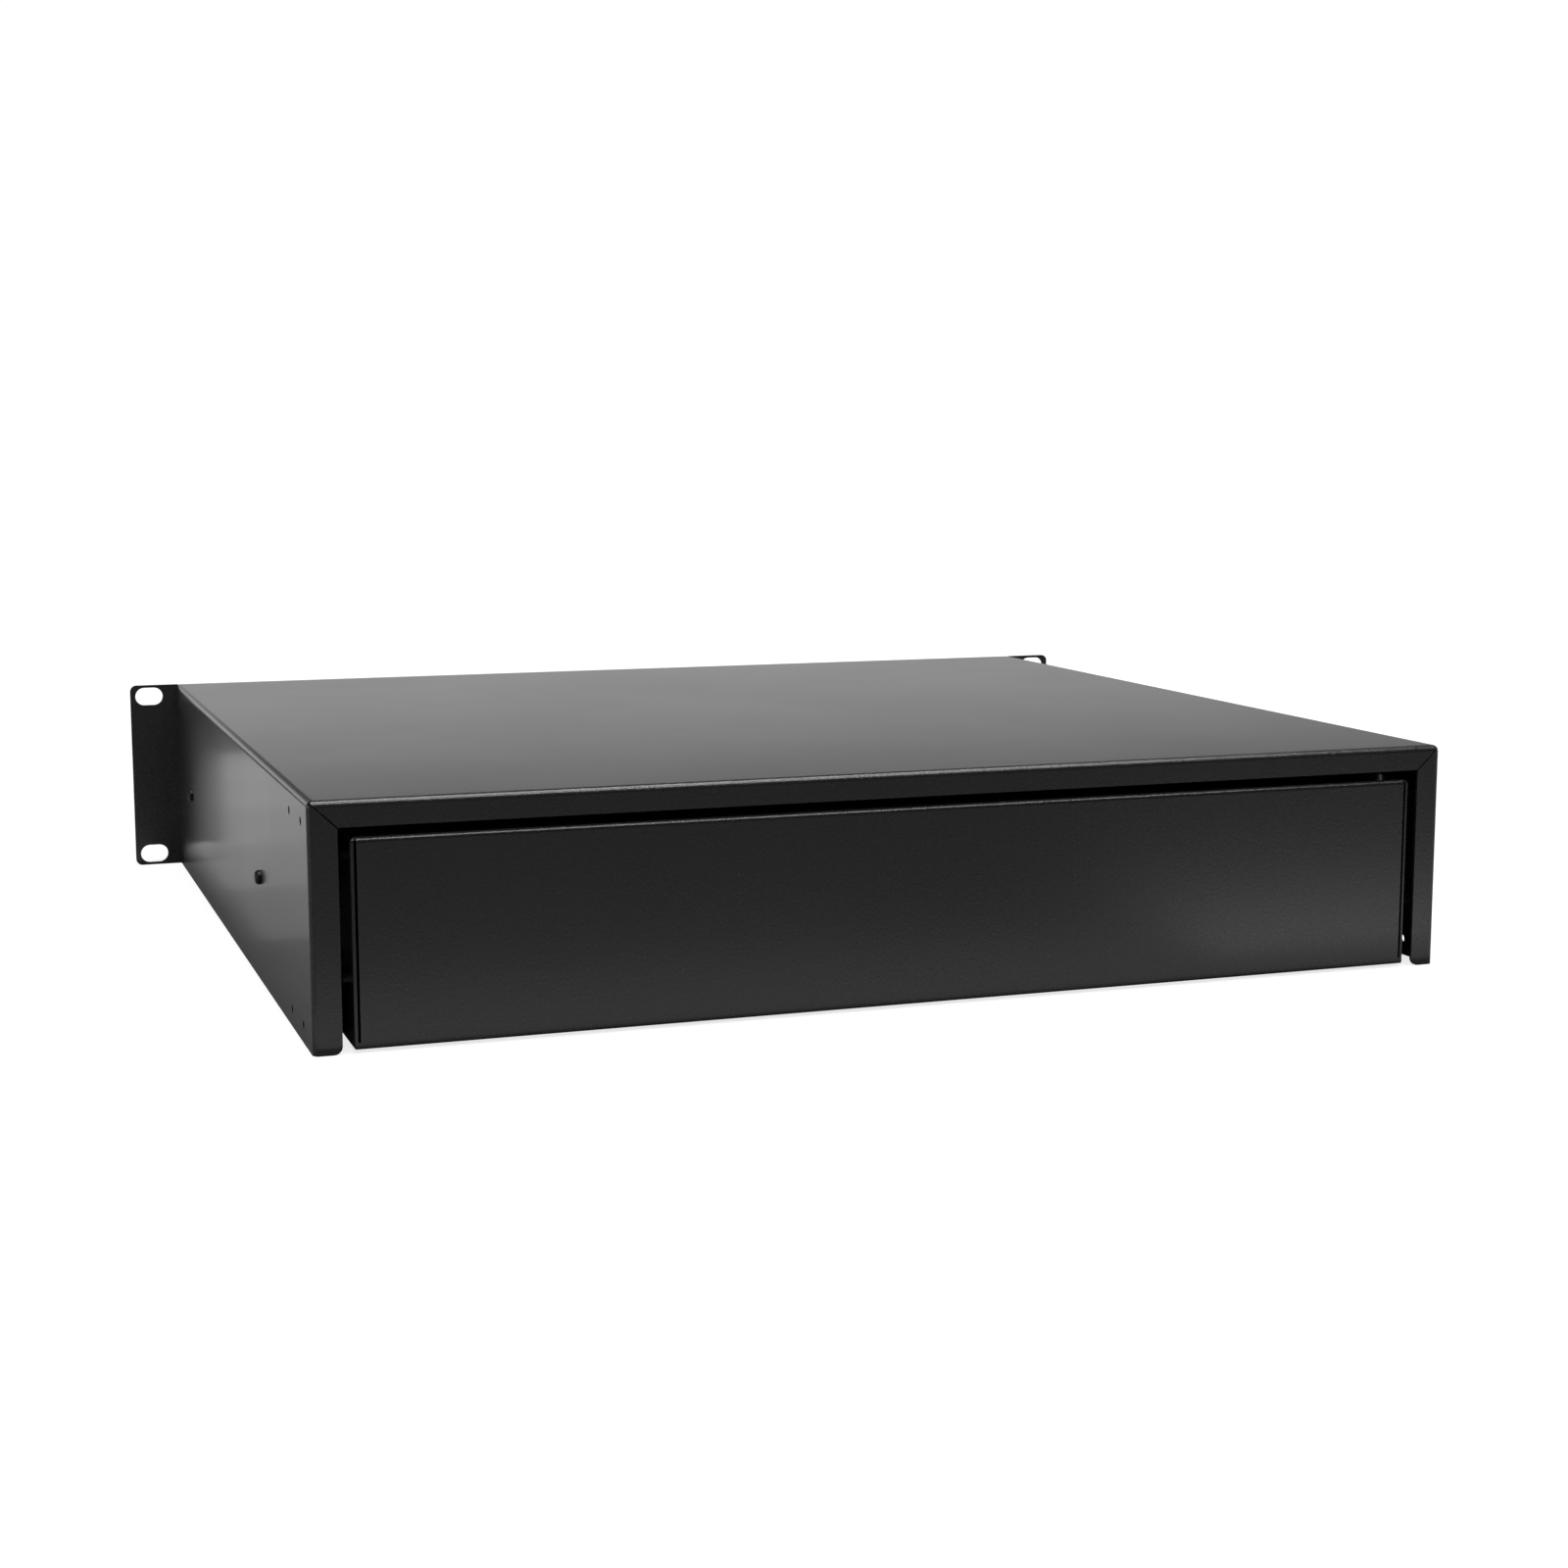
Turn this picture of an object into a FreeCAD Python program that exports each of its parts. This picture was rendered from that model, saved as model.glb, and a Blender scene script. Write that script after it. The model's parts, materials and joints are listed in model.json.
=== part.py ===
import FreeCAD, Part
import math
import os

import Sketcher
from FreeCAD import Vector

# A 2U, 19 inch rack drawer in black powder-coated sheet steel.
#
# Frame: +X to the right seen from the front, +Y from the front to the rear, +Z up.  The origin is the
# centre of the four rack slots, on the rear face of the rack ears, which is the face that meets the
# rack rails.  All lengths are millimetres.

DIMENSIONS = {
    # casing: one folded sheet, open underneath
    "sheet": 1.2,
    "casing_width": 440.0,
    "casing_height": 87.0,
    "casing_depth": 400.0,
    "casing_bend": 2.4,
    "inside_bend": 1.1,
    "side_flange": 10.0,
    "top_flange": 9.3,
    "flange_corner": 3.0,
    "mitre_gap": 0.35,
    "ear_span": 482.6,
    "ear_corner": 3.0,
    "ear_slot_span": 465.1,
    "ear_slot_rise": 76.2,
    "ear_slot_length": 12.8,
    "ear_slot_height": 8.4,
    "bracket_hole": 3.2,
    "bracket_pitch": 25.4,
    "upper_bracket_from_front": 359.8,
    "lower_bracket_from_front": 354.6,
    "upper_bracket_rise": 34.8,
    "lower_bracket_drop": 37.0,
    # three-section ball-bearing slides, 12.7 mm thick plus 0.1 mm of play
    "slide_drop": 2.3,
    "slide_space": 12.8,
    "slide_front": 20.0,
    "slide_length": 350.0,
    "slide_short": 6.0,
    "slide_steel": 1.5,
    "slide_pitch": 224.0,
    "slide_screw_inset": 37.0,
    "outer_half": 22.8,
    "outer_reach": 11.2,
    "outer_lip": 0.8,
    "middle_half": 17.9,
    "middle_web": 3.2,
    "middle_reach": 10.9,
    "inner_half": 13.0,
    "inner_reach": 5.8,
    "ball": 2.0,
    "ball_play": 0.05,
    "ball_line": 7.6,
    "outer_ball_rise": 19.6,
    "inner_ball_rise": 14.7,
    "ball_pitch": 20.0,
    "balls_in_row": 8,
    "cage_steel": 0.5,
    "cage_front": 110.0,
    "cage_end": 10.0,
    "outer_cage_web": 2.45,
    "inner_cage_web": 4.95,
    "cage_reach": 10.3,
    "buffer_half": 17.0,
    "buffer_play": 0.1,
    "buffer_corner": 2.0,
    # release lever inside each drawer member
    "lever_pivot_from_front": 180.0,
    "lever_thick": 2.5,
    "lever_web_gap": 0.5,
    "lever_tail": 24.0,
    "lever_thumb": 30.0,
    "lever_half": 3.4,
    "lever_boss": 4.6,
    "lever_hook": 5.0,
    "pivot_pin": 1.5,
    "pivot_head": 2.8,
    # screws
    "small_screw": 1.5,
    "small_screw_hole": 1.6,
    "small_head": 2.75,
    "small_head_high": 2.0,
    "small_screw_end": 2.0,
    "head_round": 0.8,
    "socket": 1.0,
    "socket_deep": 1.1,
    "screw": 2.0,
    "screw_hole": 2.1,
    "head": 4.0,
    "head_high": 2.2,
    "screw_length": 6.0,
    "nut": 3.5,
    "nut_high": 3.0,
    "drawer_screw_from_front": 89.0,
    "drawer_screw_pitch": 192.0,
    # drawer
    "drawer_top": 30.6,
    "drawer_floor_gap": 1.2,
    "drawer_rim": 10.0,
    "drawer_top_bend": 1.9,
    "drawer_edge": 0.8,
    "drawer_slit": 1.0,
    "notch_half": 22.0,
    "notch_floor": 6.0,
    # front panel
    "panel_steel": 1.5,
    "panel_front": -3.0,
    "panel_gap": 1.0,
    "panel_return": 10.5,
    "panel_bend": 2.0,
    "stud_span": 360.0,
    "stud_rise": 44.0,
    "stud_drop": 6.0,
    "stud_length": 8.0,
    # bow handle
    "handle_span": 128.0,
    "handle_drop": 14.0,
    "handle_rod": 4.0,
    "handle_reach": 34.0,
    "handle_bend": 12.0,
    "handle_foot": 6.5,
    "handle_foot_high": 2.0,
    # cam lock
    "lock_rise": 22.5,
    "lock_barrel": 8.0,
    "lock_play": 0.05,
    "lock_collar": 11.0,
    "lock_collar_high": 2.4,
    "lock_length": 17.0,
    "lock_plug": 5.5,
    "lock_plug_rim": 7.0,
    "lock_plug_rim_deep": 1.4,
    "lock_tail": 3.0,
    "lock_nut": 11.0,
    "lock_nut_high": 4.0,
    "cam_thick": 2.0,
    "cam_boss": 7.0,
    "cam_arm": 16.5,
    "cam_half": 5.0,
    "cam_screw_head": 4.5,
    "cam_screw_high": 2.4,
    "keyway_thick": 2.0,
    "keyway_wide": 7.6,
    "key_play": 0.1,
    "key_deep": 13.0,
    "key_neck": 6.0,
    "key_bow": 10.5,
    "key_ring_hole": 3.0,
    "strike_half": 20.0,
    "strike_front": 12.3,
    "strike_hang": 9.0,
    "strike_leg": 14.0,
}

# Lengths that follow from the sheet's cells.
CASING_HALF = "dims.casing_width / 2"
CASING_TOP = "dims.casing_height / 2"
INNER_WALL = f"({CASING_HALF} - dims.sheet)"
DRAWER_HALF = f"({INNER_WALL} - dims.slide_space)"
DRAWER_BOTTOM = f"(dims.drawer_floor_gap - {CASING_TOP})"
DRAWER_FRONT = "(dims.panel_front + dims.panel_steel)"
SLIDE_SHORT_LENGTH = "(dims.slide_length - dims.slide_short)"
PANEL_TOP = f"({CASING_TOP} - dims.sheet - dims.panel_gap)"
LOCK_BACK = "(dims.panel_front + dims.lock_length)"
SIDES = {"right": 1, "left": -1}
SAME_PLACE = 0.001

doc = FreeCAD.newDocument("rack_drawer")
sheet = doc.addObject("Spreadsheet::Sheet", "dims")


def fill_sheet():
    """One row per driving dimension: its name, its value as plain text, and the name as alias."""
    for row, (name, size) in enumerate(DIMENSIONS.items(), 1):
        sheet.set(f"A{row}", name)
        sheet.set(f"B{row}", str(size))
        sheet.setAlias(f"B{row}", name)
    doc.recompute()


# ---------------------------------------------------------------- sketching and feature helpers


def size_of(expression):
    """The number a sheet expression stands for."""
    return float(sheet.evalExpression(expression))


def new_body(name):
    body = doc.addObject("PartDesign::Body", name)
    body.Label = name
    return body


def origin_part(body, role):
    return next(item for item in body.Origin.OriginFeatures if item.Role == role)


def new_sketch(body, plane, across="0", up="0", away="0"):
    """A sketch on one of the body's own origin planes, shifted by three expressions."""
    sketch = body.newObject("Sketcher::SketchObject", f"{body.Name}_sketch")
    sketch.AttachmentSupport = [(origin_part(body, plane), "")]
    sketch.MapMode = "FlatFace"
    for letter, shift in zip("xyz", (across, up, away)):
        sketch.setExpression(f"AttachmentOffset.Base.{letter}", f"1 * ({shift})")
    return sketch


def pin(sketch, geometry, vertex, point):
    """Bind one vertex of a sketch to a pair of expressions, or to the first alone."""
    for kind, expression in zip(("DistanceX", "DistanceY"), point):
        constraint = Sketcher.Constraint(kind, -1, 1, geometry, vertex, size_of(expression))
        index = sketch.addConstraint(constraint)
        sketch.setExpression(f"Constraints[{index}]", f"1 * ({expression})")


def polygon(sketch, points):
    """A closed outline whose corners are pairs of expressions."""
    corners = [Vector(size_of(x), size_of(y), 0) for x, y in points]
    first = sketch.GeometryCount
    count = len(corners)
    for index in range(count):
        sketch.addGeometry(Part.LineSegment(corners[index], corners[(index + 1) % count]))
    for index in range(count):
        following = first + (index + 1) % count
        sketch.addConstraint(Sketcher.Constraint("Coincident", first + index, 2, following, 1))
        pin(sketch, first + index, 1, points[index])


def rectangle(sketch, left, bottom, right, top):
    polygon(sketch, [(left, bottom), (right, bottom), (right, top), (left, top)])


def circle(sketch, centre, radius):
    middle = Vector(size_of(centre[0]), size_of(centre[1]), 0)
    index = sketch.addGeometry(Part.Circle(middle, Vector(0, 0, 1), size_of(radius)))
    pin(sketch, index, 3, centre)
    constraint = sketch.addConstraint(Sketcher.Constraint("Radius", index, size_of(radius)))
    sketch.setExpression(f"Constraints[{constraint}]", f"1 * ({radius})")


def slot(sketch, centre, length, height):
    """A level slot with round ends: two flats and two half circles."""
    x, z = (f"({part})" for part in centre)
    reach = f"({length} - {height}) / 2"
    radius = f"({height}) / 2"
    flats = []
    for sign in (1, -1):
        start = (f"{x} - {sign} * {reach}", f"{z} + {sign} * {radius}")
        end = (f"{x} + {sign} * {reach}", f"{z} + {sign} * {radius}")
        ends = [Vector(size_of(a), size_of(b), 0) for a, b in (start, end)]
        flats.append(sketch.addGeometry(Part.LineSegment(*ends)))
        pin(sketch, flats[-1], 1, start)
        pin(sketch, flats[-1], 2, end)
    upper, lower = flats
    for sign, first, last in ((1, upper, lower), (-1, lower, upper)):
        middle_x = f"{x} + {sign} * {reach}"
        middle = Vector(size_of(middle_x), size_of(z), 0)
        whole = Part.Circle(middle, Vector(0, 0, 1), size_of(radius))
        begin = math.radians(-90 * sign)
        arc = sketch.addGeometry(Part.ArcOfCircle(whole, begin, begin + math.pi))
        sketch.addConstraint(Sketcher.Constraint("Coincident", arc, 1, last, 1))
        sketch.addConstraint(Sketcher.Constraint("Coincident", arc, 2, first, 2))
        pin(sketch, arc, 3, (middle_x,))


def pad(body, sketch, length, backwards=False):
    feature = body.newObject("PartDesign::Pad", f"{body.Name}_pad")
    feature.Profile = sketch
    feature.setExpression("Length", f"1 * ({length})")
    feature.Reversed = backwards
    doc.recompute()
    return feature


def pocket(body, sketch, length=None, backwards=False):
    """Cut a sketch out of the body, through everything when no length is given."""
    before = body.Shape.Volume
    feature = body.newObject("PartDesign::Pocket", f"{body.Name}_pocket")
    feature.Profile = sketch
    feature.Reversed = backwards
    if length is None:
        feature.Type = "ThroughAll"
        feature.Midplane = True
    else:
        feature.setExpression("Length", f"1 * ({length})")
    doc.recompute()
    if body.Shape.Volume >= before:
        raise RuntimeError(f"{feature.Label} removes nothing")
    return feature


def edges_at(shape, x=None, y=None, z=None, mirrored=True):
    """Names of the edges that lie whole at the given coordinates; x counts on both sides."""
    wanted = {"x": x, "y": y, "z": z}
    targets = {axis: size_of(text) for axis, text in wanted.items() if text is not None}
    names = []
    for index, edge in enumerate(shape.Edges, 1):
        ends = [edge.valueAt(edge.FirstParameter), edge.valueAt(edge.LastParameter)]
        middle = edge.valueAt((edge.FirstParameter + edge.LastParameter) / 2)
        distances = []
        for point in ends + [middle]:
            for axis, target in targets.items():
                place = getattr(point, axis)
                if axis == "x" and mirrored:
                    place, target = abs(place), abs(target)
                distances.append(abs(place - target))
        if distances and max(distances) < SAME_PLACE:
            names.append(f"Edge{index}")
    return names


def fillet(body, radius, *places):
    """Round every edge found at the given places."""
    base = body.Tip
    names = []
    for place in places:
        found = edges_at(base.Shape, **place)
        if not found:
            raise RuntimeError(f"{body.Label} has no edge at {place}")
        names += [name for name in found if name not in names]
    feature = body.newObject("PartDesign::Fillet", f"{body.Name}_fillet")
    feature.Base = (base, names)
    feature.setExpression("Radius", f"1 * ({radius})")
    doc.recompute()
    if feature.Shape.isNull():
        raise RuntimeError(f"{feature.Label} failed")
    return feature


def turned(body, plane, shift, profile):
    """A solid of revolution about the sketch's level axis; profile is (along, radius) pairs."""
    sketch = new_sketch(body, plane, *shift)
    polygon(sketch, profile)
    feature = body.newObject("PartDesign::Revolution", f"{body.Name}_turned")
    feature.Profile = sketch
    feature.ReferenceAxis = (sketch, ["H_Axis"])
    feature.Angle = 360
    doc.recompute()
    return feature


def hexagon(sketch, radius):
    """A regular hexagon round the sketch origin, points up and down."""
    corners = []
    for step in range(6):
        angle = 90 + 60 * step
        corners.append((f"{radius} * cos({angle} deg)", f"{radius} * sin({angle} deg)"))
    polygon(sketch, corners)


def screw_profile(side, under_head, radius, head, head_high, length):
    """Profile of a pan-head screw along the sketch's level axis; the head points to `side`."""
    top = f"{under_head} + {side} * {head_high}"
    shoulder = f"{under_head} + {side} * ({head_high} - dims.head_round)"
    tip = f"{under_head} - {side} * ({length})"
    floor = f"{top} - {side} * dims.socket_deep"
    return [
        (tip, "0"),
        (tip, radius),
        (under_head, radius),
        (under_head, head),
        (shoulder, head),
        (top, f"{head} - dims.head_round"),
        (top, "dims.socket"),
        (floor, "dims.socket"),
        (floor, "0"),
    ]


# ---------------------------------------------------------------- casing


def casing_arch(body):
    """The folded top and side walls, an upside-down U run from front to rear."""
    sketch = new_sketch(body, "XZ_Plane")
    inner_top = f"{CASING_TOP} - dims.sheet"
    polygon(
        sketch,
        [
            (f"-{CASING_HALF}", f"-{CASING_TOP}"),
            (f"-{CASING_HALF}", CASING_TOP),
            (CASING_HALF, CASING_TOP),
            (CASING_HALF, f"-{CASING_TOP}"),
            (INNER_WALL, f"-{CASING_TOP}"),
            (INNER_WALL, inner_top),
            (f"-{INNER_WALL}", inner_top),
            (f"-{INNER_WALL}", f"-{CASING_TOP}"),
        ],
    )
    pad(body, sketch, "dims.casing_depth", backwards=True)


def casing_rear_flanges(body):
    """The frame turned in round the rear opening."""
    flange_inner = f"{CASING_HALF} - dims.side_flange"
    flange_low = f"{CASING_TOP} - dims.top_flange"
    sketch = new_sketch(body, "XZ_Plane", away="-dims.casing_depth")
    polygon(
        sketch,
        [
            (f"-({CASING_HALF})", f"-{CASING_TOP}"),
            (f"-({CASING_HALF})", CASING_TOP),
            (CASING_HALF, CASING_TOP),
            (CASING_HALF, f"-{CASING_TOP}"),
            (flange_inner, f"-{CASING_TOP}"),
            (flange_inner, flange_low),
            (f"-({flange_inner})", flange_low),
            (f"-({flange_inner})", f"-{CASING_TOP}"),
        ],
    )
    pad(body, sketch, "dims.sheet")


def casing_ears(body):
    """Two ears turned out at the front, each with a slot near the top and the bottom."""
    for side in SIDES.values():
        sketch = new_sketch(body, "XZ_Plane")
        root = f"{side} * {INNER_WALL}"
        tip = f"{side} * dims.ear_span / 2"
        polygon(
            sketch,
            [
                (root, f"-{CASING_TOP}"),
                (tip, f"-{CASING_TOP}"),
                (tip, CASING_TOP),
                (root, CASING_TOP),
            ],
        )
        pad(body, sketch, "dims.sheet")
    sketch = new_sketch(body, "XZ_Plane")
    for side in SIDES.values():
        for level in (1, -1):
            centre = (f"{side} * dims.ear_slot_span / 2", f"{level} * dims.ear_slot_rise / 2")
            slot(sketch, centre, "dims.ear_slot_length", "dims.ear_slot_height")
    pocket(body, sketch)


def casing_bends(body):
    """Round the long top folds and the folds of the rear flanges, outside and inside."""
    inner_top = f"{CASING_TOP} - dims.sheet"
    inner_rear = "dims.casing_depth - dims.sheet"
    flange_inner = f"{CASING_HALF} - dims.side_flange"
    fillet(
        body,
        "dims.casing_bend",
        {"x": CASING_HALF, "z": CASING_TOP},
        {"x": CASING_HALF, "y": "dims.casing_depth"},
        {"y": "dims.casing_depth", "z": CASING_TOP},
    )
    fillet(
        body,
        "dims.inside_bend",
        {"x": INNER_WALL, "z": inner_top},
        {"x": INNER_WALL, "y": inner_rear},
        {"y": inner_rear, "z": inner_top},
    )
    fillet(body, "dims.flange_corner", {"x": flange_inner, "z": f"-{CASING_TOP}"})


def casing_ear_bends(body):
    """Round the fold at each ear's root and the ear's two loose corners."""
    ear_tip = "dims.ear_span / 2"
    fillet(body, "dims.inside_bend", {"x": INNER_WALL, "y": "-dims.sheet"})
    fillet(
        body,
        "dims.ear_corner",
        {"x": ear_tip, "z": CASING_TOP},
        {"x": ear_tip, "z": f"-{CASING_TOP}"},
    )


def casing_mitres(body):
    """A narrow slit on the diagonal of each upper rear corner, where the three folds meet."""
    inner_x = f"({CASING_HALF} - dims.side_flange - dims.sheet)"
    inner_z = f"({CASING_TOP} - dims.top_flange - dims.sheet)"
    outer_x = f"({CASING_HALF} + dims.sheet)"
    outer_z = f"({CASING_TOP} + dims.sheet)"
    half_gap = "dims.mitre_gap / 2"
    sketch = new_sketch(body, "XZ_Plane", away="-dims.casing_depth")
    for side in SIDES.values():
        polygon(
            sketch,
            [
                (f"{side} * ({inner_x} - {half_gap})", f"{inner_z} + {half_gap}"),
                (f"{side} * ({inner_x} + {half_gap})", f"{inner_z} - {half_gap}"),
                (f"{side} * ({outer_x} + {half_gap})", f"{outer_z} - {half_gap}"),
                (f"{side} * ({outer_x} - {half_gap})", f"{outer_z} + {half_gap}"),
            ],
        )
    pocket(body, sketch, "dims.casing_bend", backwards=True)


def casing_side_holes(body):
    """Four bracket holes near the rear of each side, and two screw holes on the slide's line."""
    sketch = new_sketch(body, "YZ_Plane")
    for step in (0, 1):
        upper = f"dims.upper_bracket_from_front + {step} * dims.bracket_pitch"
        lower = f"dims.lower_bracket_from_front + {step} * dims.bracket_pitch"
        mount = f"dims.slide_front + dims.slide_screw_inset + {step} * dims.slide_pitch"
        circle(sketch, (upper, "dims.upper_bracket_rise"), "dims.bracket_hole / 2")
        circle(sketch, (lower, "-dims.lower_bracket_drop"), "dims.bracket_hole / 2")
        circle(sketch, (mount, "-dims.slide_drop"), "dims.small_screw_hole")
    pocket(body, sketch)


def make_casing():
    body = new_body("casing")
    casing_arch(body)
    casing_rear_flanges(body)
    casing_bends(body)
    casing_ears(body)
    casing_ear_bends(body)
    casing_mitres(body)
    casing_side_holes(body)
    return body


def make_lock_strike():
    """The angle under the casing's front edge that the lock's cam turns up behind."""
    body = new_body("lock_strike")
    top = f"({CASING_TOP} - dims.sheet)"
    front = "dims.strike_front"
    sketch = new_sketch(body, "YZ_Plane")
    polygon(
        sketch,
        [
            (front, top),
            (front, f"{top} - dims.strike_hang"),
            (f"{front} + dims.sheet", f"{top} - dims.strike_hang"),
            (f"{front} + dims.sheet", f"{top} - dims.sheet"),
            (f"{front} + dims.strike_leg", f"{top} - dims.sheet"),
            (f"{front} + dims.strike_leg", top),
        ],
    )
    feature = pad(body, sketch, "2 * dims.strike_half")
    feature.Midplane = True
    doc.recompute()
    fillet(body, "dims.inside_bend", {"y": front, "z": top})
    fillet(
        body,
        "dims.flange_corner",
        {"x": "dims.strike_half", "z": f"{top} - dims.strike_hang"},
        {"x": "dims.strike_half", "y": f"{front} + dims.strike_leg"},
    )
    return body


# ---------------------------------------------------------------- slides
# Places across a slide are distances in from the casing's inner wall; heights are from its centre line.


def across(side, depth):
    return f"{side} * ({INNER_WALL} - {depth})"


def level(height):
    return f"({height} - dims.slide_drop)"


def channel(body, side, web, lips, half, steel, start, length, lip="0"):
    """A C-shaped member: the web's outer face at depth `web`, its flanges reaching to `lips`."""
    turn = 1 if size_of(lips) > size_of(web) else -1
    inside = f"({web} + {turn} * {steel})"
    lip_root = f"({lips} - {turn} * {steel})"
    outline = [(web, half), (lips, half)]
    if lip != "0":
        outline.append((lips, f"({half} - {steel} - {lip})"))
        outline.append((lip_root, f"({half} - {steel} - {lip})"))
        outline.append((lip_root, f"({half} - {steel})"))
    else:
        outline.append((lips, f"({half} - {steel})"))
    outline.append((inside, f"({half} - {steel})"))
    upper = [(across(side, depth), level(height)) for depth, height in outline]
    lower = [(across(side, depth), level(f"-{height}")) for depth, height in reversed(outline)]
    sketch = new_sketch(body, "XZ_Plane", away=f"-({start})")
    polygon(sketch, upper + lower)
    pad(body, sketch, length, backwards=True)


def ball_tracks(body, side, rise, start, length):
    """The shallow round tracks that a row of balls runs in, above and below."""
    sketch = new_sketch(body, "XZ_Plane", away=f"-({start})")
    for sign in (1, -1):
        centre = (across(side, "dims.ball_line"), level(f"{sign} * {rise}"))
        circle(sketch, centre, "dims.ball + dims.ball_play")
    pocket(body, sketch, length)


def row_of_holes(body, start, count, pitch, radius):
    """Round holes through a member's web, along its centre line."""
    sketch = new_sketch(body, "YZ_Plane")
    for step in range(count):
        circle(sketch, (f"{start} + {step} * {pitch}", "-dims.slide_drop"), radius)
    pocket(body, sketch)


def make_slide_outer(name, side):
    body = new_body(f"slide_outer_{name}")
    start, length = "dims.slide_front", "dims.slide_length"
    member = ("0", "dims.outer_reach", "dims.outer_half", "dims.slide_steel", start, length)
    channel(body, side, *member, lip="dims.outer_lip")
    fillet(
        body,
        "dims.inside_bend",
        {"x": across(1, "0"), "z": level("dims.outer_half")},
        {"x": across(1, "0"), "z": level("-dims.outer_half")},
    )
    ball_tracks(body, side, "dims.outer_ball_rise", start, length)
    first = f"{start} + dims.slide_screw_inset"
    row_of_holes(body, first, 2, "dims.slide_pitch", "dims.small_screw")
    return body


def make_slide_middle(name, side):
    body = new_body(f"slide_middle_{name}")
    start = "dims.slide_front"
    sizes = ("dims.middle_web", "dims.middle_reach", "dims.middle_half", "dims.slide_steel")
    channel(body, side, *sizes, start, SLIDE_SHORT_LENGTH)
    fillet(
        body,
        "dims.inside_bend",
        {"x": across(1, "dims.middle_web"), "z": level("dims.middle_half")},
        {"x": across(1, "dims.middle_web"), "z": level("-dims.middle_half")},
    )
    ball_tracks(body, side, "dims.outer_ball_rise", start, SLIDE_SHORT_LENGTH)
    ball_tracks(body, side, "dims.inner_ball_rise", start, SLIDE_SHORT_LENGTH)
    return body


def make_slide_inner(name, side):
    body = new_body(f"slide_inner_{name}")
    start = "dims.slide_front"
    sizes = ("dims.slide_space", "dims.inner_reach", "dims.inner_half", "dims.slide_steel")
    channel(body, side, *sizes, start, SLIDE_SHORT_LENGTH)
    fillet(
        body,
        "dims.inside_bend",
        {"x": across(1, "dims.slide_space"), "z": level("dims.inner_half")},
        {"x": across(1, "dims.slide_space"), "z": level("-dims.inner_half")},
    )
    ball_tracks(body, side, "dims.inner_ball_rise", start, SLIDE_SHORT_LENGTH)
    row_of_holes(body, "dims.drawer_screw_from_front", 2, "dims.drawer_screw_pitch", "dims.screw_hole")
    row_of_holes(body, "dims.lever_pivot_from_front", 1, "0", "dims.pivot_pin")
    return body


def make_ball_cage(name, side, row, web, rise):
    """A thin retainer strip with a hole for each ball in its two flanges."""
    body = new_body(f"{row}_ball_cage_{name}")
    length = "((dims.balls_in_row - 1) * dims.ball_pitch + 2 * dims.cage_end)"
    half = f"({rise} + dims.cage_steel / 2)"
    sizes = (web, "dims.cage_reach", half, "dims.cage_steel", "dims.cage_front", length)
    channel(body, side, *sizes)
    sketch = new_sketch(body, "XY_Plane")
    first = "dims.cage_front + dims.cage_end"
    circle(sketch, (across(side, "dims.ball_line"), first), "dims.ball + dims.ball_play")
    hole = pocket(body, sketch)
    along_row(body, [hole])
    return body


def along_row(body, originals):
    """Repeat features at every ball of the row, from front to rear."""
    row = body.newObject("PartDesign::LinearPattern", f"{body.Name}_row")
    row.Originals = originals
    row.Direction = (origin_part(body, "Y_Axis"), [""])
    row.Mode = "Spacing"
    row.setExpression("Offset", "1 * dims.ball_pitch")
    row.setExpression("Occurrences", "dims.balls_in_row")
    body.Tip = row
    doc.recompute()


def make_balls(name, side, row, rise):
    """Two rows of loose steel balls, one above and one below the slide's centre line."""
    body = new_body(f"{row}_balls_{name}")
    spheres = []
    for sign in (1, -1):
        sphere = body.newObject("PartDesign::AdditiveSphere", f"{body.Name}_ball")
        sphere.setExpression("Radius", "1 * dims.ball")
        place = {
            "x": across(side, "dims.ball_line"),
            "y": "dims.cage_front + dims.cage_end",
            "z": level(f"{sign} * {rise}"),
        }
        for axis, expression in place.items():
            sphere.setExpression(f"Placement.Base.{axis}", expression)
        spheres.append(sphere)
    doc.recompute()
    along_row(body, spheres)
    return body


def make_slide_buffer(name, side):
    """The moulded stop in the rear end of the casing member."""
    body = new_body(f"slide_buffer_{name}")
    start = f"dims.slide_front + {SLIDE_SHORT_LENGTH} + dims.buffer_play"
    sketch = new_sketch(body, "XZ_Plane", away=f"-({start})")
    low, high = level("-dims.buffer_half"), level("dims.buffer_half")
    near, far = across(side, "dims.slide_steel"), across(side, "dims.middle_reach")
    rectangle(sketch, near, low, far, high)
    pad(body, sketch, "dims.slide_short - dims.buffer_play", backwards=True)
    corner = {"x": across(1, "dims.middle_reach")}
    fillet(body, "dims.buffer_corner", dict(corner, z=low), dict(corner, z=high))
    sketch = new_sketch(body, "XZ_Plane", away=f"-({start})")
    pocket_low = level("-dims.buffer_half / 2")
    pocket_high = level("dims.buffer_half / 2")
    inset = across(side, "(dims.slide_steel + dims.buffer_corner)")
    outset = across(side, "(dims.middle_reach - dims.buffer_corner)")
    rectangle(sketch, inset, pocket_low, outset, pocket_high)
    pocket(body, sketch, "dims.slide_short / 2")
    return body


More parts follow.
